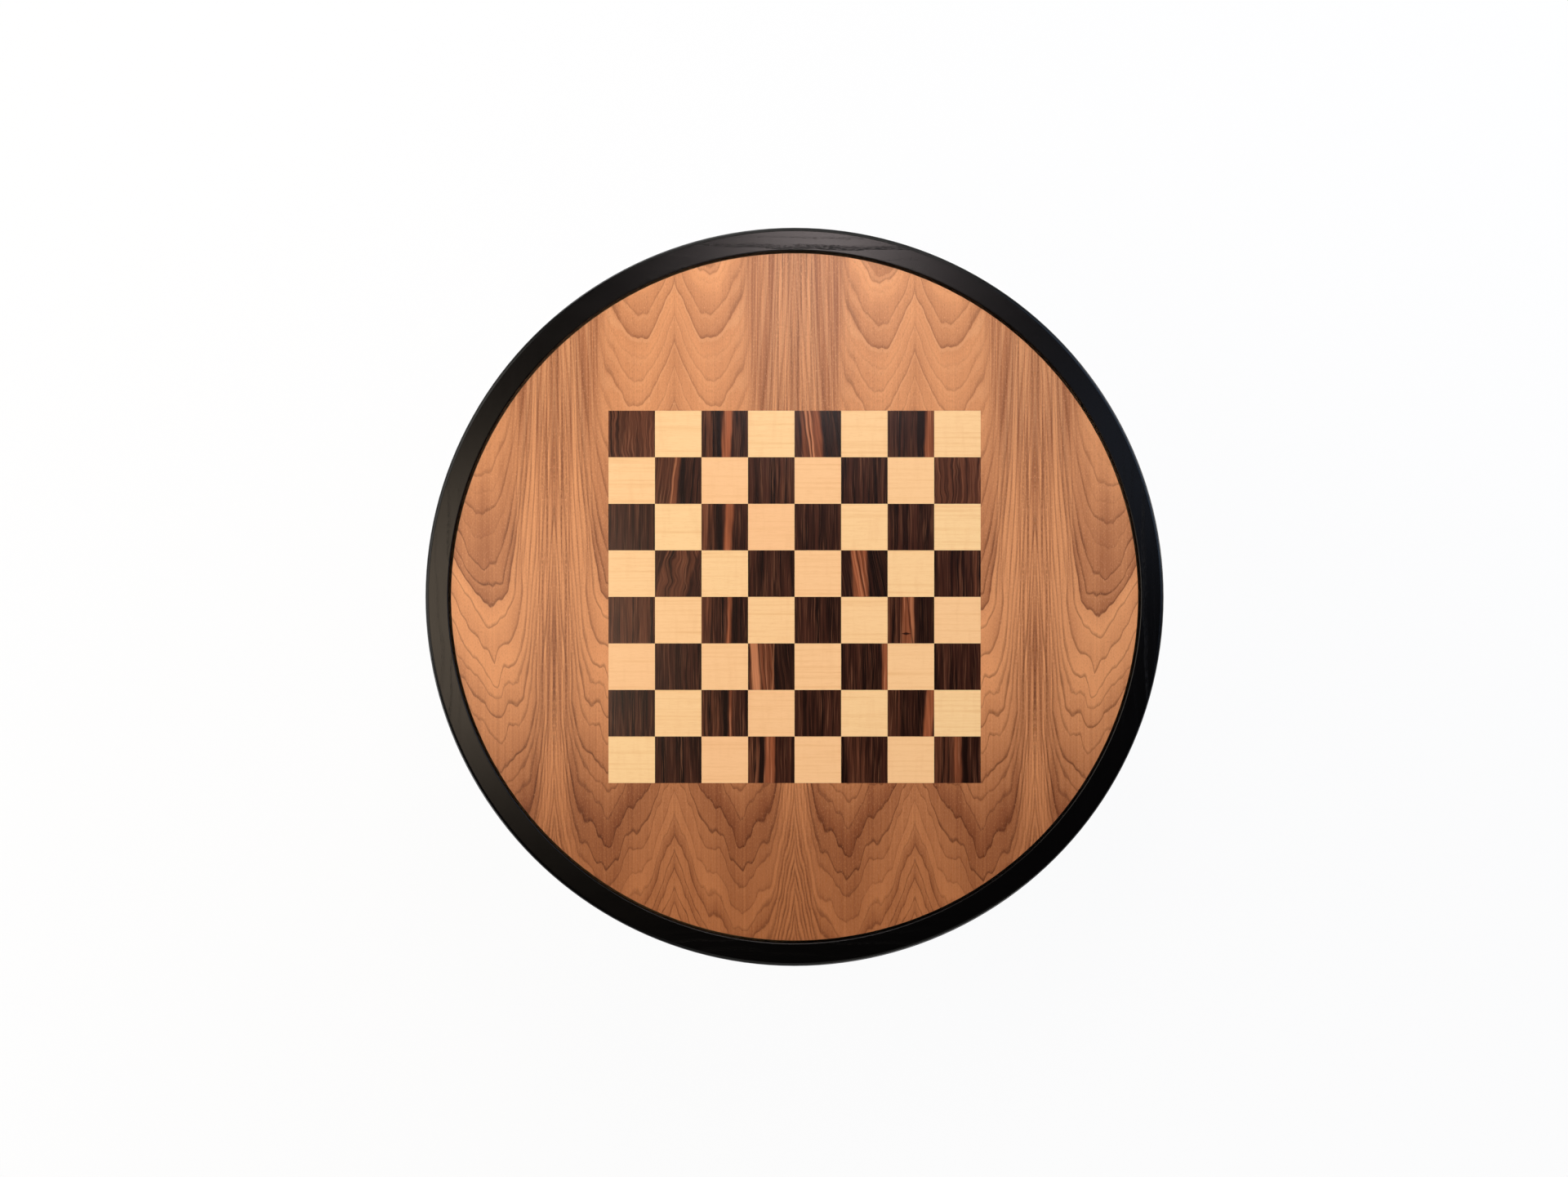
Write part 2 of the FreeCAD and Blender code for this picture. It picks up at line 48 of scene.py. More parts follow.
TOP_RADIUS = corner("rim_segment_right", 1).x
TOP_Z = corner("rim_segment_right", 1).z
BOARD_HALF = corner("dark_squares", 1).x
SQUARE = 2 * BOARD_HALF / BOARD_SQUARES
LEAF_WIDTH = corner("veneer_leaf_4_back", 1).x
LEG_MIDDLE = (corner("leg_back_right", 0).x + corner("leg_back_right", 1).x) / 2
APRON_RADIUS = corner("apron_right", 1).x
RING_Z = corner("support_ring_back_right", 0).z


# Shader nodes that read as formulas

class Number:
    """A value worked out by nodes, which takes part in ordinary sums."""

    def __init__(self, finish, socket):
        self.finish = finish
        self.socket = socket

    def __add__(self, other):
        return self.finish.math("ADD", self, other)

    __radd__ = __add__

    def __sub__(self, other):
        return self.finish.math("SUBTRACT", self, other)

    def __rsub__(self, other):
        return self.finish.math("SUBTRACT", other, self)

    def __mul__(self, other):
        return self.finish.math("MULTIPLY", self, other)

    __rmul__ = __mul__

    def __truediv__(self, other):
        return self.finish.math("DIVIDE", self, other)

    def __abs__(self):
        return self.finish.math("ABSOLUTE", self)

    def __pow__(self, other):
        return self.finish.math("POWER", self, other)

    def floor(self):
        return self.finish.math("FLOOR", self)

    def fraction(self):
        return self.finish.math("FRACT", self)

    def fold(self, width):
        """Run up to a width and back again, over and over."""
        return self.finish.math("PINGPONG", self, width)

    def above(self, limit):
        """One where the value is above a limit, else zero."""
        return self.finish.math("GREATER_THAN", self, limit)

    def ease(self, start, end):
        """Zero before the start, one after the end, and smooth between them."""
        node = self.finish.node("ShaderNodeMapRange", interpolation_type="SMOOTHSTEP")
        self.finish.feed(node.inputs["Value"], self)
        self.finish.feed(node.inputs["From Min"], start)
        self.finish.feed(node.inputs["From Max"], end)
        return Number(self.finish, node.outputs["Result"])


class Finish:
    """A material in the making, with the place on the part in millimetres as x, y and z."""

    def __init__(self, name):
        self.material = bpy.data.materials.new(name)
        self.material.use_nodes = True
        self.tree = self.material.node_tree
        self.shader = self.tree.nodes["Principled BSDF"]
        scale = self.node("ShaderNodeVectorMath", operation="SCALE")
        scale.inputs["Scale"].default_value = PER_METRE
        self.feed(scale.inputs[0], self.node("ShaderNodeTexCoord").outputs["Object"])
        parts = self.node("ShaderNodeSeparateXYZ")
        self.feed(parts.inputs[0], scale.outputs[0])
        self.x, self.y, self.z = [Number(self, socket) for socket in parts.outputs]

    def node(self, kind, **settings):
        node = self.tree.nodes.new(kind)
        for key, setting in settings.items():
            setattr(node, key, setting)
        return node

    def feed(self, socket, source):
        """Link a node's value to a socket, or set a constant on it."""
        if isinstance(source, Number):
            source = source.socket
        if isinstance(source, bpy.types.NodeSocket):
            self.tree.links.new(source, socket)
        else:
            socket.default_value = source

    def math(self, operation, *values):
        node = self.node("ShaderNodeMath", operation=operation)
        for socket, source in zip(node.inputs, values):
            self.feed(socket, source)
        return Number(self, node.outputs[0])

    def point(self, *parts):
        node = self.node("ShaderNodeCombineXYZ")
        for socket, source in zip(node.inputs, parts):
            self.feed(socket, source)
        return node.outputs[0]

    def noise(self, *place, detail=2):
        """Smooth noise from about -1 to 1, with one bump to each unit of the place."""
        node = self.node("ShaderNodeTexNoise")
        self.feed(node.inputs["Vector"], self.point(*place))
        self.feed(node.inputs["Scale"], 1)
        self.feed(node.inputs["Detail"], detail)
        return (Number(self, node.outputs[0]) - 0.5) * 2

    def chance(self, *place):
        """An even random number from 0 to 1 for each whole place."""
        node = self.node("ShaderNodeTexWhiteNoise")
        self.feed(node.inputs["Vector"], self.point(*place))
        return Number(self, node.outputs["Value"])

    def mix(self, share, first, second, how="MIX"):
        """The first colour where the share is 0 and the second, laid over it, where it is 1."""
        node = self.node("ShaderNodeMix", data_type="RGBA", blend_type=how)
        for name, source in (("Factor_Float", share), ("A_Color", first), ("B_Color", second)):
            socket = next(item for item in node.inputs if item.identifier == name)
            self.feed(socket, source)
        return next(item for item in node.outputs if item.identifier == "Result_Color")

    def curve(self, value, points, smooth=False):
        """Read a line through given points at a value."""
        points = sorted(points)
        start, end = points[0][0], points[-1][0]
        least = min(result for place, result in points)
        most = max(result for place, result in points)
        node = self.node("ShaderNodeFloatCurve")
        line = node.mapping.curves[0]
        shares = [
            ((place - start) / (end - start), (result - least) / (most - least))
            for place, result in points
        ]
        line.points[0].location = shares[0]
        line.points[1].location = shares[-1]
        for share in shares[1:-1]:
            line.points.new(*share)
        for point in line.points:
            point.handle_type = "AUTO_CLAMPED" if smooth else "VECTOR"
        node.mapping.extend = "HORIZONTAL"
        node.mapping.update()
        self.feed(node.inputs["Value"], (value - start) / (end - start))
        return Number(self, node.outputs[0]) * (most - least) + least

    def blend(self, share, first, second):
        """The first value where the share is 0 and the second where it is 1."""
        return first + share * (second - first)

    def done(self, colour, roughness, height=None, depth=1, **constants):
        """Join colour, roughness and a bump, given in millimetres, to the shader."""
        self.feed(self.shader.inputs["Base Color"], colour)
        self.feed(self.shader.inputs["Roughness"], roughness)
        for name, setting in constants.items():
            socket_name = name.replace("_", " ").title().replace("Ior", "IOR")
            self.feed(self.shader.inputs[socket_name], setting)
        if height is not None:
            bump = self.node("ShaderNodeBump")
            self.feed(bump.inputs["Distance"], depth / PER_METRE)
            self.feed(bump.inputs["Height"], height)
            self.feed(self.shader.inputs["Normal"], bump.outputs[0])
        return self.material


def colour(red, green, blue):
    """A colour from screen values of 0 to 255."""
    screen = Color((red / SCREEN_WHITE, green / SCREEN_WHITE, blue / SCREEN_WHITE))
    return (*screen.from_srgb_to_scene_linear(), 1)


def dress(material, *starts):
    """Give a material to every CAD node whose name starts with one of the words."""
    for name, piece in frame["nodes"].items():
        if name.startswith(starts):
            piece.data.materials.clear()
            piece.data.materials.append(material)


# Walnut face: book-matched leaves with crowns that point to the front

# Growth rings where they cross a crown's middle line: place, strength of the line, darkness behind it
WALNUT_RINGS = (
    (405, 0.5, 0.5), (396, 0.5, 0.3), (384, 0.2, 0.0), (370, 0.1, 0.2), (347, 0.5, 0.4),
    (331, 0.1, 0.3), (315, 0.8, 0.5), (290, 0.25, 0.2), (265, 0.35, 0.35), (249, 0.1, 0.3),
    (232, 0.6, 0.45), (195, 0.4, 0.3), (172, 0.15, 0.3), (148, 0.6, 0.4), (125, 0.1, 0.45),
    (102, 0.7, 0.55), (72, 0.15, 0.55), (40, 0.9, 0.6), (11, 0.9, 0.58), (-8, 0.9, 0.66),
    (-33, 0.7, 0.08), (-70, 0.7, 0.35), (-103, 0.65, 0.12), (-125, 0.5, 0.25), (-150, 0.8, 0.4),
    (-175, 0.55, 0.3), (-213, 0.9, 0.45), (-235, 0.65, 0.4), (-262, 0.65, 0.5), (-298, 0.9, 0.75),
    (-330, 0.85, 0.5), (-352, 0.4, 0.45), (-385, 0.3, 0.35), (-410, 0.5, 0.2), (-432, 0.5, 0.55),
    (-455, 0.7, 0.2), (-474, 0.5, 0.45), (-498, 0.8, 0.15), (-520, 0.5, 0.4), (-545, 0.8, 0.1),
    (-566, 0.6, 0.4), (-590, 0.8, 0.15), (-620, 0.5, 0.3), (-660, 0, 0.1),
)
# The crown's middle line: place along the leaf, distance from the straight-grained seam
CROWN_MIDDLE = ((-420, 66), (-150, 66), (-90, 72), (-8, 77), (40, 86), (100, 90), (315, 104), (420, 108))
# How far a ring has risen at a distance to either side of the middle line, from the front to the back
FRONT_RISE = (
    (-110, 420), (-66, 178), (-56, 128), (-48, 88), (-42, 57), (-35, 34), (-22, 24), (-16, 14),
    (-6, 2), (0, 0), (5, 2), (10, 8), (18, 29), (25, 43), (36, 46), (46, 57), (55, 77), (62, 98),
    (81, 148),
)
NEAR_RISE = (
    (-110, 560), (-60, 203), (-43, 73), (-36, 45), (-30, 30), (-24, 19), (-11, 15), (-6, 6), (0, 0),
    (6, 2), (13, 10), (22, 26), (36, 42), (44, 55), (60, 85), (81, 132),
)
FAR_RISE = (
    (-110, 560), (-63, 218), (-57, 168), (-48, 118), (-40, 74), (-30, 35), (-22, 16), (-16, 5),
    (-10, 2), (0, 0), (8, 2), (14, 8), (18, 14), (23, 27), (34, 50), (45, 72), (60, 100), (81, 148),
)
BACK_RISE = (
    (-110, 450), (-80, 260), (-65, 165), (-57, 118), (-48, 78), (-40, 48), (-26, 25), (-20, 14),
    (-8, 2), (0, 0), (8, 1), (14, 10), (21, 23), (31, 45), (38, 65), (42, 80), (81, 210),
)
# Where along the leaf the crowns end in a notch, and how wide and deep it is
NOTCH_SHARES = (
    (-320, 0), (-300, 1), (-262, 1), (-240, 0), (-120, 0), (-103, 1), (-70, 1), (-50, 0), (20, 0),
    (40, 1), (64, 0),
)
NOTCH_HALF_WIDTH = 7
NOTCH_DEPTH = 13
# Where along the leaf one run of the rings gives way to the next, and where it grows calmer
FRONT_TO_NEAR = (-280, -130)
NEAR_TO_FAR = (-90, 20)
FAR_TO_BACK = (80, 280)
WILD_TO_CALM = (-200, 40)
WAVE_HEIGHT = 8
WILD_RIPPLE_HEIGHT = 7.5
CALM_RIPPLE_HEIGHT = 4
# Distances from the crown's middle line, towards the straight-grained seam, over which rings narrow
STEEP_FLANK = (20, 48)
SEAM_FLANK = (34, 60)
STEEP_STRETCH = 4
# Where along the leaf the seam's narrow grain and its straight grain begin
SEAM_START = (-300, -150)
STRAIGHT_START = (-220, -20)
# Straight grain: how much narrower its rings are, the place of its first ring, its lean and its sway
STRAIGHT_STRETCH = 5.6
STRAIGHT_FIRST_RING = -255
STRAIGHT_LEAN = 0.35
STRAIGHT_SWAY = 24
# Width of a ring line on its soft and its sharp side, and what a narrower ring takes off it
SOFT_WIDTH = 6
SOFT_WIDTH_LOSS = 0.65
SHARP_WIDTH = 1.5
SHARP_WIDTH_LOSS = 0.1
# Distance of the pale wood from the line above it
PALE_DISTANCE = 4


def ring_marks(wood, contour, stretch):
    """Ring lines, the darkness between them and the pale wood below them.

    The rings are as many times narrower as stretch says.
    """
    count = len(WALNUT_RINGS)
    places, strengths, darks = zip(*WALNUT_RINGS)
    widths = [upper - lower for upper, lower in zip(places[:1] + places, places)]

    def of_ring(ring, values):
        return wood.curve(ring, [(count - index, value) for index, value in enumerate(values)])

    contour = wood.math("MAXIMUM", contour, places[-1] + 1)
    number = wood.curve(contour, [(place, count - index) for index, place in enumerate(places)])
    ring = number.floor()
    phase = number.fraction()
    spread = of_ring(ring, widths) / stretch
    to_next = (1 - phase) * spread
    soft = 1 - (phase * spread).ease(0, SOFT_WIDTH - stretch * SOFT_WIDTH_LOSS)
    sharp = 1 - to_next.ease(0, SHARP_WIDTH - stretch * SHARP_WIDTH_LOSS)
    next_strength = of_ring(ring + 1, strengths)
    line = soft * of_ring(ring, strengths) + sharp * next_strength
    stepped = of_ring(ring, darks) * (1 - phase * 0.25)
    flowing = of_ring(number, darks)
    dark = stepped * 0.6 + flowing * 0.4
    pale = (1 - abs(to_next - PALE_DISTANCE).ease(1, PALE_DISTANCE)) * next_strength
    return line, dark, pale


def walnut_rings(wood, across, length, drift):
    """One leaf's ring lines, dark and pale wood, and the shares of straight and of narrow grain."""
    side = across - wood.curve(length, CROWN_MIDDLE, smooth=True)
    front = wood.curve(side, FRONT_RISE, smooth=True)
    near = wood.curve(side, NEAR_RISE, smooth=True)
    far = wood.curve(side, FAR_RISE, smooth=True)
    back = wood.curve(side, BACK_RISE, smooth=True)
    rise = wood.blend(length.ease(*FRONT_TO_NEAR), front, near)
    rise = wood.blend(length.ease(*NEAR_TO_FAR), rise, far)
    rise = wood.blend(length.ease(*FAR_TO_BACK), rise, back)
    notch_width = wood.math("MAXIMUM", 1 - abs(side) / NOTCH_HALF_WIDTH, 0)
    notch = wood.curve(length, NOTCH_SHARES) * notch_width * NOTCH_DEPTH
    wave = wood.noise(side / 22, length / 55, drift, detail=0) * WAVE_HEIGHT
    ripple_height = wood.blend(length.ease(*WILD_TO_CALM), WILD_RIPPLE_HEIGHT, CALM_RIPPLE_HEIGHT)
    ripple = wood.noise(side / 7, length / 26, drift + 5, detail=0) * ripple_height
    steep = (side * -1).ease(*STEEP_FLANK)
    crown = length - rise + notch + wave + ripple
    crown_line, crown_dark, crown_pale = ring_marks(wood, crown, 1 + steep * STEEP_STRETCH)
    sway = wood.noise(across / 12, length / 240, drift + 8, detail=0) * STRAIGHT_SWAY
    upright = across * STRAIGHT_STRETCH + STRAIGHT_FIRST_RING + length * STRAIGHT_LEAN + sway
    straight_line, straight_dark, straight_pale = ring_marks(wood, upright, STRAIGHT_STRETCH)
    near_seam = (side * -1).ease(*SEAM_FLANK) * length.ease(*SEAM_START)
    straight = near_seam * length.ease(*STRAIGHT_START)
    line = wood.blend(straight, crown_line, straight_line * 0.9)
    dark = wood.blend(straight, crown_dark, straight_dark)
    dark = wood.blend(near_seam * 0.8, dark, 0.2)
    pale = wood.blend(straight, crown_pale, straight_pale)
    return line, dark, pale, straight, near_seam


# The panel's front end is painted a little darker and redder than its back: painted shade for light that
# falls off towards the front
FRONT_PAINTED_SHADE = (0.6, 0.5, 0.43, 1)
FRONT_END = (-430, 60)
BACK_END = (120, 280)
# The leaves to the right are cut a little further along the log, and each leaf differs slightly
RIGHT_LEAF_SHIFT = 12
LEAF_DRIFT = 0.25
# Distances from the straight-grained seam at which its bundle, its beads and its shade end or begin
BUNDLE_EDGE = (8, 26)
BEADS_EDGE = (10, 34)
SHADE_EDGE = (8, 30)


def walnut_face():
    """The leaves of the panel, each the mirror of its neighbour."""
    wood = Finish("walnut_face")
    leaf = (wood.x / LEAF_WIDTH).floor()
    drift = wood.chance(leaf, 3, 1) * LEAF_DRIFT
    across = abs(wood.x).fold(LEAF_WIDTH)
    length = wood.y + wood.x.above(0) * RIGHT_LEAF_SHIFT
    line, dark, pale, straight, near_seam = walnut_rings(wood, across, length, drift)
    blotch = wood.noise(across / 30, length / 170, drift + 12)
    streak = wood.noise(across / 2.4, length / 300, drift + 27)
    band = wood.noise(across / 8, length / 500, drift + 33) * near_seam
    fade = wood.noise(across / 20, length / 35, drift + 30) * 0.6 + 0.8
    fibre = wood.noise(across / 0.9, length / 12, drift + 15, detail=3)
    speckle = wood.noise(across / 1.3, length / 2.6, drift + 18, detail=3)
    pores = wood.noise(across / 0.9, length / 8, drift + 21).ease(0.25, 0.55) * (0.35 + line * 0.65)
    front_end = 1 - length.ease(*FRONT_END)
    back_end = length.ease(*BACK_END)
    bundle = 1 - across.ease(*BUNDLE_EDGE)
    streak_share = 0.25 + near_seam * wood.blend(back_end, bundle * 0.7 + 0.45, 1.1)
    streak = streak * streak_share * (1 + front_end * 0.7)
    shade = across.ease(*SHADE_EDGE) * near_seam * back_end
    dashes = wood.noise(across / 2, length / 4, drift + 39).ease(-0.5, 0.2)
    beads = wood.noise(across / 2.6, length / 240, drift + 36).ease(0.05, 0.3) * dashes
    beads = beads * (1 - across.ease(*BEADS_EDGE)) * (near_seam * 0.7 + 0.3)
    tone = dark * 1.15 + blotch * 0.25 + streak * 0.55 + band * 0.12
    tone = tone + straight * (0.06 + bundle * 0.1 + back_end * 0.22) + shade * 0.06
    base = wood.mix(tone.ease(-0.1, 1.1), colour(236, 163, 108), colour(138, 79, 50))
    line_share = line * fade * (0.85 + front_end * 0.15 - back_end * 0.3)
    base = wood.mix(line_share, base, colour(100, 55, 35))
    base = wood.mix(pale * (0.04 + back_end * 0.3), base, colour(240, 180, 128))
    base = wood.mix((fibre * 0.5 + 0.5) * 0.18, base, colour(134, 78, 48))
    base = wood.mix(speckle.ease(0.05, 0.7) * 0.5, base, colour(238, 174, 124))
    base = wood.mix((speckle * -1).ease(0.05, 0.7) * 0.4, base, colour(122, 70, 43))
    base = wood.mix(pores * 0.7, base, colour(84, 45, 28))
    base = wood.mix(beads * 0.6, base, colour(108, 60, 38))
    # Painted shade: the front end is multiplied darker and redder, as if less light reached it
    base = wood.mix(front_end, base, FRONT_PAINTED_SHADE, how="MULTIPLY")
    roughness = 0.28 + fibre * 0.03 + pores * 0.12
    height = fibre * 0.25 - pores * 0.6
    return wood.done(base, roughness, height, depth=0.03, specular_ior_level=0.17)


STRIP_RING_WIDTH = 7


def walnut_strip(name, lay):
    """Plain walnut whose grain runs as lay says: along, across and through."""
    wood = Finish(name)
    along, across, through = lay(wood)
    wave = wood.noise(along / 180, across / 30, through / 30) * 5
    rings = (across + through * 0.3 + wave) / STRIP_RING_WIDTH
    phase = rings.fraction()
    line = (1 - phase.ease(0, 0.35)) * wood.chance(rings.floor(), 1, 6)
    fibre = wood.noise(along / 16, across / 0.7, through / 0.7, detail=3)
    pores = wood.noise(along / 8, across / 0.5, through / 0.5).ease(0.42, 0.6)
    blotch = wood.noise(along / 90, across / 25, through / 25)
    base = wood.mix(blotch * 0.5 + 0.5, colour(196, 126, 80), colour(162, 98, 63))
    base = wood.mix(line * 0.6, base, colour(112, 64, 42))
    base = wood.mix(pores * 0.45 + (fibre * 0.5 + 0.5) * 0.2, base, colour(108, 62, 40))
    return wood.done(base, 0.5 + fibre * 0.05, fibre * 0.3 - pores * 0.6, depth=0.04)


# Board: streaked dark squares and pale squares

# Bands in single squares: column from the left, row from the back, left and right edge, slant, strength
ORANGE_SHARES = (
    (3, 1, 0.45, 0.64, 0.06, 1), (3, 3, 0.50, 0.68, 0.06, 0.9), (3, 5, 0.55, 0.64, 0.03, 0.9),
    (3, 7, 0.58, 0.66, 0.02, 0.45), (4, 6, 0.04, 0.55, -0.05, 0.4), (4, 8, 0.37, 0.58, 0.03, 0.85),
    (5, 1, 0.16, 0.57, -0.06, 0.6), (6, 4, 0.24, 0.57, -0.06, 0.8), (6, 6, 0.87, 1.1, 0, 0.7),
    (7, 5, 0.3, 0.57, 0, 0.6), (7, 7, 0.80, 1.0, 0.12, 0.9), (8, 8, 0.42, 0.57, 0, 0.5),
    (2, 2, 0.36, 0.5, 0.08, 0.3), (7, 1, 0.8, 1.1, 0.04, 0.7),
)
BROWN_SHARES = (
    (3, 1, -0.1, 0.27, 0, 1), (3, 3, -0.1, 0.27, 0, 1), (3, 5, -0.1, 0.27, 0, 0.8),
    (3, 7, -0.1, 0.4, 0, 0.8), (4, 8, -0.1, 0.22, 0, 0.8), (7, 7, -0.1, 0.28, 0, 0.4),
    (8, 8, -0.1, 0.5, 0, 0.5), (2, 4, 0.1, 0.8, 0.3, 0.9), (1, 1, -0.1, 1.1, 0, 0.75),
    (2, 2, -0.1, 0.5, 0.1, 0.7), (8, 2, -0.1, 1.1, 0, 0.7), (8, 4, 0.8, 1.1, 0, 0.6),
    (1, 5, -0.1, 1.1, 0, 0.6), (4, 2, 0.5, 1.1, 0, 0.3), (6, 8, 0.2, 0.6, 0, 0.3),
    (7, 5, -0.1, 0.3, 0, 0.7),
)
BLACK_SHARES = (
    (3, 1, 0.29, 0.44, 0, 1), (3, 3, 0.30, 0.46, 0, 1), (3, 5, 0.64, 0.8, 0, 0.8),
    (3, 7, 0.45, 0.58, 0, 1), (4, 8, 0.23, 0.36, 0, 1), (6, 4, 0.58, 1.1, 0, 0.55),
    (8, 8, 0.58, 0.75, 0, 1), (5, 1, 0.58, 1.1, 0, 0.6), (2, 2, 0.52, 0.66, 0, 1),
    (7, 7, 0.3, 0.75, 0.1, 0.5), (7, 5, 0.58, 1.1, 0, 0.6), (4, 6, 0.57, 1.1, 0, 0.5),
    (6, 4, -0.1, 0.2, 0, 0.4), (7, 1, 0.66, 0.79, 0, 0.8),
)
COPPER_SHARES = (
    (5, 1, 0.27, 0.31, -0.14, 1), (5, 1, 0.34, 0.38, -0.12, 0.9), (6, 4, 0.35, 0.39, -0.18, 0.5),
    (4, 6, 0.07, 0.25, -0.08, 0.75), (4, 6, 0.53, 0.56, 0, 0.5), (7, 5, 0.5, 0.57, 0, 0.4),
    (2, 2, 0.38, 0.41, 0.1, 0.7),
)
LINE_SHARES = (
    (5, 1, 0.23, 0.27, -0.15, 0.9), (5, 1, 0.31, 0.34, -0.13, 0.8), (6, 4, 0.41, 0.45, -0.19, 0.9),
    (6, 4, 0.49, 0.51, -0.15, 0.5), (4, 6, 0.25, 0.29, -0.1, 0.9), (4, 6, 0.35, 0.38, -0.07, 0.6),
    (4, 6, 0.45, 0.47, -0.03, 0.5), (7, 5, 0.46, 0.5, -0.1, 0.9), (7, 5, 0.22, 0.28, 0, 0.7),
)
# Squares whose threads lean or curl: column, row, lean, width of the curl in millimetres
CURLY_SQUARES = (
    (1, 1, 0, 5), (2, 2, 0.1, 2), (2, 4, 0.12, 9), (4, 6, -0.1, 1), (5, 1, -0.13, 1),
    (6, 4, -0.18, 1), (8, 2, 0, 5),
)
# A small knot: column, row, place in the square, half width; and how much wider than high it is
KNOT_SHARES = (7, 5, 0.4, 0.79, 0.14)
KNOT_FLATNESS = 3.5
SOFT_EDGE_SHARE = 0.05
SHARP_EDGE_SHARE = 0.02
# The grain of each square is read at a place of its own, within this many steps
GRAIN_STEPS = 40


class Board:
    """Where a place lies on the board: the number of its square, and its place in that square."""

    def __init__(self, wood):
        column = (wood.x + BOARD_HALF) / SQUARE
        row = (BOARD_HALF - wood.y) / SQUARE
        self.wood = wood
        self.over = column.fraction()
        self.down = row.fraction()
        self.number = column.floor() + row.floor() * BOARD_SQUARES

    def at(self, column, row):
        """One in the square of a column from the left and a row from the back, both counted from 1."""
        number = column - 1 + (row - 1) * BOARD_SQUARES
        return self.wood.math("COMPARE", self.number, number, 0.1)

    def bands(self, shares, wobble, edge=SOFT_EDGE_SHARE):
        """Upright bands in single squares, with an edge that is soft or sharp."""
        total = 0
        for column, row, left, right, slant, strength in shares:
            middle = (left + right) / 2
            half = (right - left) / 2
            off = abs(self.over + (self.down - 0.5) * slant + wobble - middle)
            share = 1 - off.ease(half - edge, half + edge * 0.6)
            total = total + share * self.at(column, row) * strength
        return self.wood.math("MINIMUM", total, 1)


def threads_across(wood, board, seed):
    """Distance across the threads, which wander a little and lean or curl in some squares."""
    wander = wood.noise(wood.x / 14, wood.y / 50, seed + 3)
    curl = wood.noise(wood.x / 22, wood.y / 26, seed + 19, detail=1)
    across = wood.x + wander * 2
    for column, row, lean, curl_width in CURLY_SQUARES:
        shift = (board.down - 0.5) * lean * SQUARE + curl * curl_width
        across = across + board.at(column, row) * shift
    return across, wander * 0.05


def ebony():
    """Dark squares: black and brown threads, with the bands of single squares over them."""
    wood = Finish("ebony")
    board = Board(wood)
    seed = wood.chance(board.number, 1, 1) * GRAIN_STEPS
    across, wobble = threads_across(wood, board, seed)
    streak = wood.noise(across / 4.5, wood.y / 170, seed, detail=3)
    thread = wood.noise(across / 2.1, wood.y / 70, seed + 7, detail=2)
    fibre = wood.noise(across / 0.6, wood.y / 12, seed + 11)
    hair = wood.noise(across / 1.1, wood.y / 60, seed + 23, detail=1).ease(0.15, 0.45)
    brown = board.bands(BROWN_SHARES, wobble)
    black = board.bands(BLACK_SHARES, wobble)
    orange = board.bands(ORANGE_SHARES, wobble)
    copper = board.bands(COPPER_SHARES, wobble, edge=SHARP_EDGE_SHARE)
    dark_line = board.bands(LINE_SHARES, wobble, edge=SHARP_EDGE_SHARE)
    column, row, knot_over, knot_down, knot_half = KNOT_SHARES
    knot_off = abs(board.over - knot_over) + abs(board.down - knot_down) * KNOT_FLATNESS
    knot = (1 - knot_off.ease(knot_half * 0.5, knot_half)) * board.at(column, row)
    pale_thread = thread.ease(0.05, 0.55)
    dark_thread = (thread * -1).ease(0.05, 0.55)
    base = wood.mix((streak * 1.4 + 0.5).ease(0, 1), colour(24, 8, 5), colour(64, 33, 22))
    base = wood.mix(pale_thread * 0.5, base, colour(106, 66, 46))
    base = wood.mix(hair * 0.35, base, colour(132, 86, 60))
    base = wood.mix(brown * (0.5 + streak * 1.6), base, colour(112, 64, 42))
    base = wood.mix(brown * pale_thread * 0.55, base, colour(152, 96, 66))
    base = wood.mix(black * 0.9, base, colour(18, 6, 4))
    base = wood.mix(orange * (0.9 + streak * 0.8), base, colour(162, 90, 56))
    base = wood.mix(orange ** 0.5 * pale_thread * 0.6, base, colour(206, 138, 98))
    base = wood.mix(orange * dark_thread * 0.4, base, colour(100, 52, 30))
    base = wood.mix(dark_thread * (0.75 - orange * 0.45), base, colour(24, 8, 5))
    base = wood.mix(copper * (0.75 + streak * 0.5), base, colour(208, 136, 92))
    base = wood.mix(dark_line * 0.8, base, colour(40, 15, 9))
    base = wood.mix(knot * 0.9, base, colour(16, 6, 4))
    roughness = 0.22 + fibre * 0.04
    height = fibre * 0.3 + thread * 0.2
    return wood.done(base, roughness, height, depth=0.02, specular_ior_level=0.23)


def maple():
    """Pale squares, with the grain from left to right."""
    wood = Finish("maple")
    number = Board(wood).number
    seed = wood.chance(number, 2, 2) * GRAIN_STEPS
    ring = wood.noise(wood.x / 170, wood.y / 3.2, seed, detail=3)
    fibre = wood.noise(wood.x / 12, wood.y / 0.7, seed + 7, detail=2)
    ray = wood.noise(wood.x / 3, wood.y / 0.8, seed + 14).ease(0.25, 0.6)
    figure = wood.noise(wood.x / 7, wood.y / 45, seed + 21).ease(-0.1, 0.7)
    base = wood.mix(wood.chance(number, 5, 5), colour(247, 208, 149), colour(245, 193, 139))
    base = wood.mix(ring.ease(-0.1, 0.8) * 0.6, base, colour(226, 166, 108))
    base = wood.mix(figure * 0.25, base, colour(232, 178, 124))
    base = wood.mix(fibre.ease(0.0, 0.8) * 0.6, base, colour(224, 164, 108))
    base = wood.mix(ray * 0.4, base, colour(226, 168, 114))
    return wood.done(base, 0.26 + fibre * 0.04, fibre * 0.3, depth=0.02, specular_ior_level=0.17)


# Black-stained ash, with open pores in the growth rings

# Longer than any piece, so that its rings are marked from end to end
WHOLE_LENGTH = 10000
FIRST_RING = 7
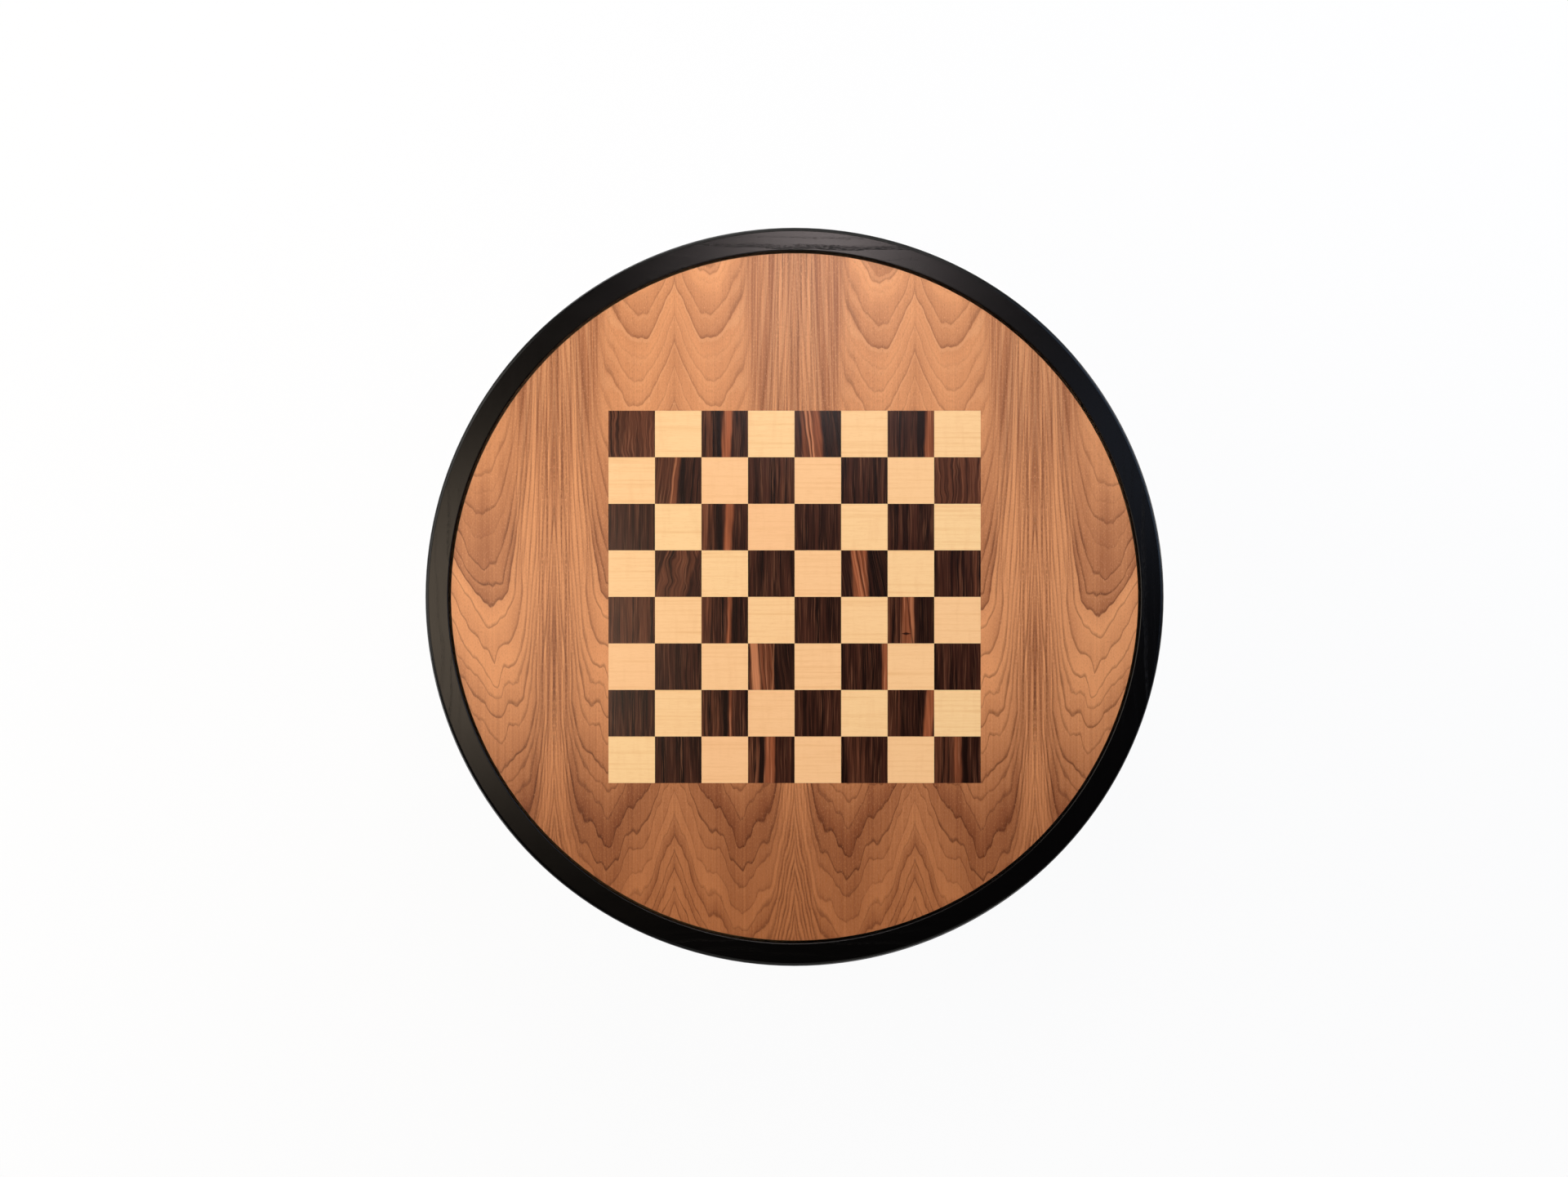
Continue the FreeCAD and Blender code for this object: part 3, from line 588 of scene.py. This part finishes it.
# A step that makes a few rings strong and most of them faint
STRENGTH_STEP = 0.6333
STRENGTH_START = 0.06
# Rings of the rim: where they start across its boards, and how far they lean for each millimetre down
RIM_RING_START = 259
RIM_RING_LEAN = 1.6
PITH_FROM_LEG = (46, 30)


def black_ash(name, lay, ring_width=6, marked_length=WHOLE_LENGTH):
    """Black ash whose grain runs as lay says; its rings fade out at the ends of the marked length."""
    wood = Finish(name)
    along, across, through = lay(wood)
    wave = wood.noise(along / 140, across / 24, through / 24) * ring_width
    rings = (across + wave - FIRST_RING) / ring_width
    strength = (rings.floor() * STRENGTH_STEP + STRENGTH_START).fraction() ** 8 * 0.8 + 0.2
    middle = 1 - abs(along).ease(marked_length * 0.6, marked_length)
    porous = (1 - rings.fraction().ease(0.1, 0.4)) * strength * middle
    dash = wood.noise(along / 7, across / 0.8, through / 0.8).ease(-0.1, 0.3)
    pores = dash * porous
    fibre = wood.noise(along / 22, across / 0.9, through / 0.9, detail=3)
    blotch = wood.noise(along / 60, across / 20, through / 20)
    base = wood.mix(fibre * 0.5 + 0.5, colour(2, 2, 2), colour(5, 4, 4))
    base = wood.mix(pores * 0.8, base, colour(1, 1, 1))
    roughness = 0.215 + fibre * 0.02 + pores * 0.24 + porous * 0.06 + blotch * 0.02
    return wood.done(base, roughness, fibre * 0.3 - pores * 0.6, depth=0.02, specular_ior_level=0.2)


def along_chord(wood):
    """Each quarter of the rim is sawn from a board laid along its chord."""
    sideways = (abs(wood.x) - abs(wood.y)).above(0)
    along = wood.x + sideways * (wood.y - wood.x)
    across = wood.y + sideways * (wood.x - wood.y)
    return along, across + RIM_RING_START + (wood.z - TOP_Z) * RIM_RING_LEAN, wood.z


def along_curve(wood):
    """Bent round the table's axis."""
    turn = wood.math("ARCTAN2", wood.y, wood.x)
    return turn * APRON_RADIUS, wood.z, (wood.x * wood.x + wood.y * wood.y) ** 0.5


def up_leg(wood):
    """Rings about a pith that lies beside the leg."""
    pith_x = abs(wood.x) - LEG_MIDDLE + PITH_FROM_LEG[0]
    pith_y = abs(wood.y) - LEG_MIDDLE + PITH_FROM_LEG[1]
    return wood.z, (pith_x * pith_x + pith_y * pith_y) ** 0.5, pith_x - pith_y


def along_x(wood):
    """On edge, with the grain from left to right."""
    return wood.x, wood.z, wood.y


def along_y(wood):
    """On edge, with the grain from front to back."""
    return wood.y, wood.z, wood.x


def along_leaf(wood):
    """Flat, with the grain from front to back."""
    return wood.y, wood.x, wood.z


# Hidden woods and fittings

PLY_THICKNESS = 1.5


def plywood():
    """Thin layers, every other one turned across."""
    wood = Finish("plywood")
    ply = ((wood.z - RING_Z) / PLY_THICKNESS).floor()
    turned = (ply / 2).fraction().above(0.2)
    along = wood.x + turned * (wood.y - wood.x)
    across = wood.y + turned * (wood.x - wood.y)
    grain = wood.noise(along / 60, across / 3, ply * 7, detail=3)
    fibre = wood.noise(along / 10, across / 0.6, ply * 7 + 3)
    base = wood.mix(grain * 0.5 + 0.5, colour(226, 194, 150), colour(205, 166, 118))
    base = wood.mix(turned * 0.45, base, colour(170, 126, 84))
    base = wood.mix(fibre.ease(0.1, 0.8) * 0.3, base, colour(150, 110, 72))
    return wood.done(base, 0.62 + fibre * 0.06, fibre * 0.4, depth=0.05)


def core_board():
    wood = Finish("core_board")
    fleck = wood.noise(wood.x / 1.4, wood.y / 1.4, wood.z / 0.5, detail=3)
    cloud = wood.noise(wood.x / 14, wood.y / 14, wood.z / 4)
    base = wood.mix(fleck * 0.5 + 0.5, colour(176, 138, 98), colour(140, 104, 70))
    base = wood.mix(cloud.ease(0, 1) * 0.3, base, colour(120, 88, 60))
    return wood.done(base, 0.75 + fleck * 0.06, fleck * 0.4, depth=0.06)


def beech():
    wood = Finish("beech")
    fleck = wood.noise(wood.x / 3, wood.y / 3, wood.z / 0.5).ease(0.35, 0.6)
    tone = wood.noise(wood.x / 20, wood.y / 20, wood.z / 3)
    base = wood.mix(tone * 0.5 + 0.5, colour(222, 176, 130), colour(204, 154, 108))
    base = wood.mix(fleck * 0.5, base, colour(160, 108, 70))
    return wood.done(base, 0.6 + fleck * 0.1, fleck * -0.5, depth=0.05)


def felt():
    cloth = Finish("felt")
    fibre = cloth.noise(cloth.x / 0.35, cloth.y / 0.35, cloth.z / 0.35, detail=4)
    matted = cloth.noise(cloth.x / 2.5, cloth.y / 2.5, cloth.z / 2.5)
    base = cloth.mix(fibre * 0.5 + 0.5, colour(34, 34, 37), colour(70, 70, 74))
    base = cloth.mix(matted.ease(0, 1) * 0.3, base, colour(50, 49, 50))
    return cloth.done(base, 0.95 - matted * 0.03, fibre, depth=0.2, sheen_weight=0.4)


def nylon():
    plastic = Finish("nylon")
    grain = plastic.noise(plastic.x / 0.6, plastic.y / 0.6, plastic.z / 0.6, detail=3)
    scuff = plastic.noise(plastic.x / 6, plastic.y / 6, plastic.z / 1.5)
    base = plastic.mix(scuff * 0.5 + 0.5, colour(40, 40, 41), colour(58, 58, 59))
    return plastic.done(base, 0.5 + grain * 0.08 + scuff * 0.05, grain, depth=0.05)


def zinc():
    metal = Finish("zinc")
    brush = metal.noise(metal.x / 0.15, metal.y / 1.2, metal.z / 1.2, detail=2)
    tint = metal.noise(metal.x / 5, metal.y / 5, metal.z / 5)
    base = metal.mix(tint * 0.5 + 0.5, colour(206, 204, 198), colour(200, 190, 160))
    return metal.done(base, 0.3 + brush * 0.08, brush, depth=0.01, metallic=1)


dress(walnut_face(), "veneer_leaf")
dress(walnut_strip("walnut_band", along_curve), "panel_edge_band")
dress(walnut_strip("walnut_backing", along_leaf), "backing_veneer")
dress(ebony(), "dark_squares")
dress(maple(), "light_squares")
dress(black_ash("ash_rim", along_chord, ring_width=13, marked_length=230), "rim_segment")
dress(black_ash("ash_apron", along_curve), "apron_right", "apron_back", "apron_left", "apron_front")
dress(black_ash("ash_leg", up_leg, ring_width=4), "leg_back", "leg_front")
dress(black_ash("ash_rail_x", along_x), "cross_rail_x")
dress(black_ash("ash_rail_y", along_y), "cross_rail_y")
dress(plywood(), "support_ring")
dress(core_board(), "panel_core")
dress(beech(), "rim_splines")
dress(felt(), "rest_pads")
dress(nylon(), "glide_back", "glide_front")
dress(zinc(), "leg_screws", "apron_screws", "glide_nails")


# Floor: a pale studio floor that keeps the shadow

FLOOR_HALF = 40
FLOOR_SHADOW_SHARE = 0.08


def floor():
    """A large plain sheet, white to the camera and in gloss, and see-through from below."""
    mesh = bpy.data.meshes.new("floor")
    signs = ((-1, -1), (1, -1), (1, 1), (-1, 1))
    corners = [(east * FLOOR_HALF, north * FLOOR_HALF, 0) for east, north in signs]
    mesh.from_pydata(corners, [], [(0, 1, 2, 3)])
    piece = bpy.data.objects.new("floor", mesh)
    bpy.context.scene.collection.objects.link(piece)
    paper = Finish("paper")
    grain = paper.noise(paper.x / 40, paper.y / 40, 0)
    base = paper.mix(grain * 0.5 + 0.5, colour(236, 236, 236), colour(240, 240, 240))
    paper.done(base, 0.9 + grain * 0.02)
    glow = paper.node("ShaderNodeEmission")
    rays = paper.node("ShaderNodeLightPath")
    seen = Number(paper, rays.outputs["Is Camera Ray"]) + Number(paper, rays.outputs["Is Glossy Ray"])
    seen = seen + Number(paper, rays.outputs["Is Transmission Ray"])
    blend = paper.node("ShaderNodeMixShader")
    paper.feed(blend.inputs[0], paper.math("MINIMUM", seen, 1) * (1 - FLOOR_SHADOW_SHARE))
    paper.feed(blend.inputs[1], paper.shader.outputs[0])
    paper.feed(blend.inputs[2], glow.outputs[0])
    from_below = paper.node("ShaderNodeMixShader")
    below = Number(paper, paper.node("ShaderNodeNewGeometry").outputs["Backfacing"])
    paper.feed(from_below.inputs[0], below * Number(paper, rays.outputs["Is Camera Ray"]))
    paper.feed(from_below.inputs[1], blend.outputs[0])
    paper.feed(from_below.inputs[2], paper.node("ShaderNodeBsdfTransparent").outputs[0])
    paper.feed(paper.tree.nodes["Material Output"].inputs["Surface"], from_below.outputs[0])
    mesh.materials.append(paper.material)


floor()


# World: white to the camera; what it lights and mirrors is pale at the horizon and dark overhead

HORIZON = (0.96, 0.96, 0.96, 1)
OVERHEAD = (0.008, 0.008, 0.008, 1)
HORIZON_TOP = 0.02
OVERHEAD_START = 0.12


def world():
    """A ramp from the horizon up, and a plain backdrop for what the camera sees."""
    sky = bpy.data.worlds.new("studio")
    bpy.context.scene.world = sky
    sky.use_nodes = True
    tree = sky.node_tree
    parts = tree.nodes.new("ShaderNodeSeparateXYZ")
    tree.links.new(tree.nodes.new("ShaderNodeTexCoord").outputs["Generated"], parts.inputs[0])
    ramp = tree.nodes.new("ShaderNodeValToRGB")
    ramp.color_ramp.elements[0].position = HORIZON_TOP
    ramp.color_ramp.elements[0].color = HORIZON
    ramp.color_ramp.elements[1].position = OVERHEAD_START
    ramp.color_ramp.elements[1].color = OVERHEAD
    tree.links.new(parts.outputs["Z"], ramp.inputs[0])
    backdrop = tree.nodes.new("ShaderNodeBackground")
    backdrop.inputs["Color"].default_value = HORIZON
    seen = tree.nodes.new("ShaderNodeMixShader")
    tree.links.new(tree.nodes.new("ShaderNodeLightPath").outputs["Is Camera Ray"], seen.inputs[0])
    tree.links.new(ramp.outputs[0], tree.nodes["Background"].inputs["Color"])
    tree.links.new(tree.nodes["Background"].outputs[0], seen.inputs[1])
    tree.links.new(backdrop.outputs[0], seen.inputs[2])
    tree.links.new(seen.outputs[0], tree.nodes["World Output"].inputs["Surface"])


world()


# Softboxes: large keys and fills, small cards that the rim mirrors, and low lamps for the frame

TOP_HEIGHT = TOP_Z / PER_METRE
KEY_HEIGHT = TOP_HEIGHT + 1.4
KEY_SIZE = (2, 2)
CARD_HEIGHT = TOP_HEIGHT + 2.2
LOW_HEIGHT = TOP_HEIGHT * 0.7
LOW_DISTANCE = 2.4
LOW_SIZE = (1.6, 0.7)
LOW_POWER = 16
LOW_SIDES = ((0.4, -1), (1, 0.4), (-0.4, 1), (-1, -0.4))
WHITE = (1, 1, 1)


def softbox(name, place, size, power, tint):
    """A lamp that faces the middle of the top."""
    data = bpy.data.lights.new(name, "AREA")
    data.shape = "RECTANGLE"
    data.size, data.size_y = size
    data.energy = power
    data.color = tint
    lamp = bpy.data.objects.new(name, data)
    bpy.context.scene.collection.objects.link(lamp)
    lamp.location = place
    lamp.visible_camera = False
    aim = Vector((0, 0, TOP_HEIGHT)) - lamp.location
    lamp.rotation_euler = aim.to_track_quat("-Z", "Y").to_euler()


softbox("left_key", (-2.0, 0.6, KEY_HEIGHT), KEY_SIZE, 40.5, (1, 0.95, 0.88))
softbox("back_key", (0.1, 2.0, KEY_HEIGHT), KEY_SIZE, 28, (1, 0.97, 0.93))
softbox("right_fill", (1.9, 0.9, KEY_HEIGHT), KEY_SIZE, 33, (0.5, 0.68, 1))
softbox("front_fill", (0.2, -2.2, KEY_HEIGHT), KEY_SIZE, 12, (1, 0.97, 0.92))
softbox("left_card", (-0.8, -0.05, CARD_HEIGHT), (0.6, 0.8), 8.8, (1, 0.8, 0.6))
softbox("back_card", (0.06, 0.82, CARD_HEIGHT), (0.24, 0.6), 8.8, (1, 0.86, 0.85))
softbox("right_card", (0.73, 0.31, CARD_HEIGHT), (0.4, 0.4), 0.6, (0.6, 0.72, 1))
for side, (east, north) in enumerate(LOW_SIDES):
    place = (east * LOW_DISTANCE, north * LOW_DISTANCE, LOW_HEIGHT)
    softbox(f"low_{side}", place, LOW_SIZE, LOW_POWER, WHITE)


# Camera: straight above the table, as in the photograph of 1920 by 1441 pixels

IMAGE_WIDTH = 1920
IMAGE_HEIGHT = 1441
RIM_MIDDLE_PIXEL = (972.94, 730.77)
RIM_RADIUS_PIXELS = 452.75
LENS_MM = 50
SENSOR_MM = 36


def camera():
    """Far enough away, and shifted, so that the rim lies where the photograph has it."""
    data = bpy.data.cameras.new("camera")
    data.lens = LENS_MM
    data.sensor_width = SENSOR_MM
    pixels_per_slope = IMAGE_WIDTH * LENS_MM / SENSOR_MM
    distance = TOP_RADIUS / PER_METRE * pixels_per_slope / RIM_RADIUS_PIXELS
    data.shift_x = (IMAGE_WIDTH / 2 - RIM_MIDDLE_PIXEL[0]) / IMAGE_WIDTH
    data.shift_y = (RIM_MIDDLE_PIXEL[1] - IMAGE_HEIGHT / 2) / IMAGE_WIDTH
    piece = bpy.data.objects.new("camera", data)
    bpy.context.scene.collection.objects.link(piece)
    piece.location = (0, 0, TOP_HEIGHT + distance)
    bpy.context.scene.camera = piece


camera()
bpy.context.scene.view_settings.view_transform = "Standard"
